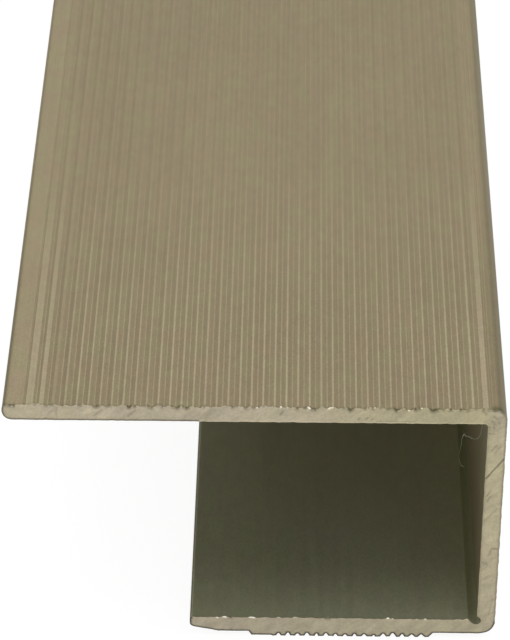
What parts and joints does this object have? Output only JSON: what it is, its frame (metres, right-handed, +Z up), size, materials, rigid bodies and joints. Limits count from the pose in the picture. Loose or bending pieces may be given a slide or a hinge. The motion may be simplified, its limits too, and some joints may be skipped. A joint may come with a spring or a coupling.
{
  "type": "aluminium edge profile",
  "caption": "Extruded aluminium edge profile: a channel for a board's edge with a long ribbed top flange, a web and a shorter foot with a serrated pad underneath.",
  "frame": {"origin": "on the floor under the serrated pad, at mid width of the top flange and mid length", "axes": "+Z up, +Y along the length, +X across the section towards the web's outer face"},
  "size_m": [0.04, 1, 0.0245],
  "materials": {
    "anodised_aluminium": "satin anodised, warm champagne tone, sawn ends bare"
  },
  "bodies": {
    "root": {"edge_profile": "anodised_aluminium"}
  },
  "joints": []
}
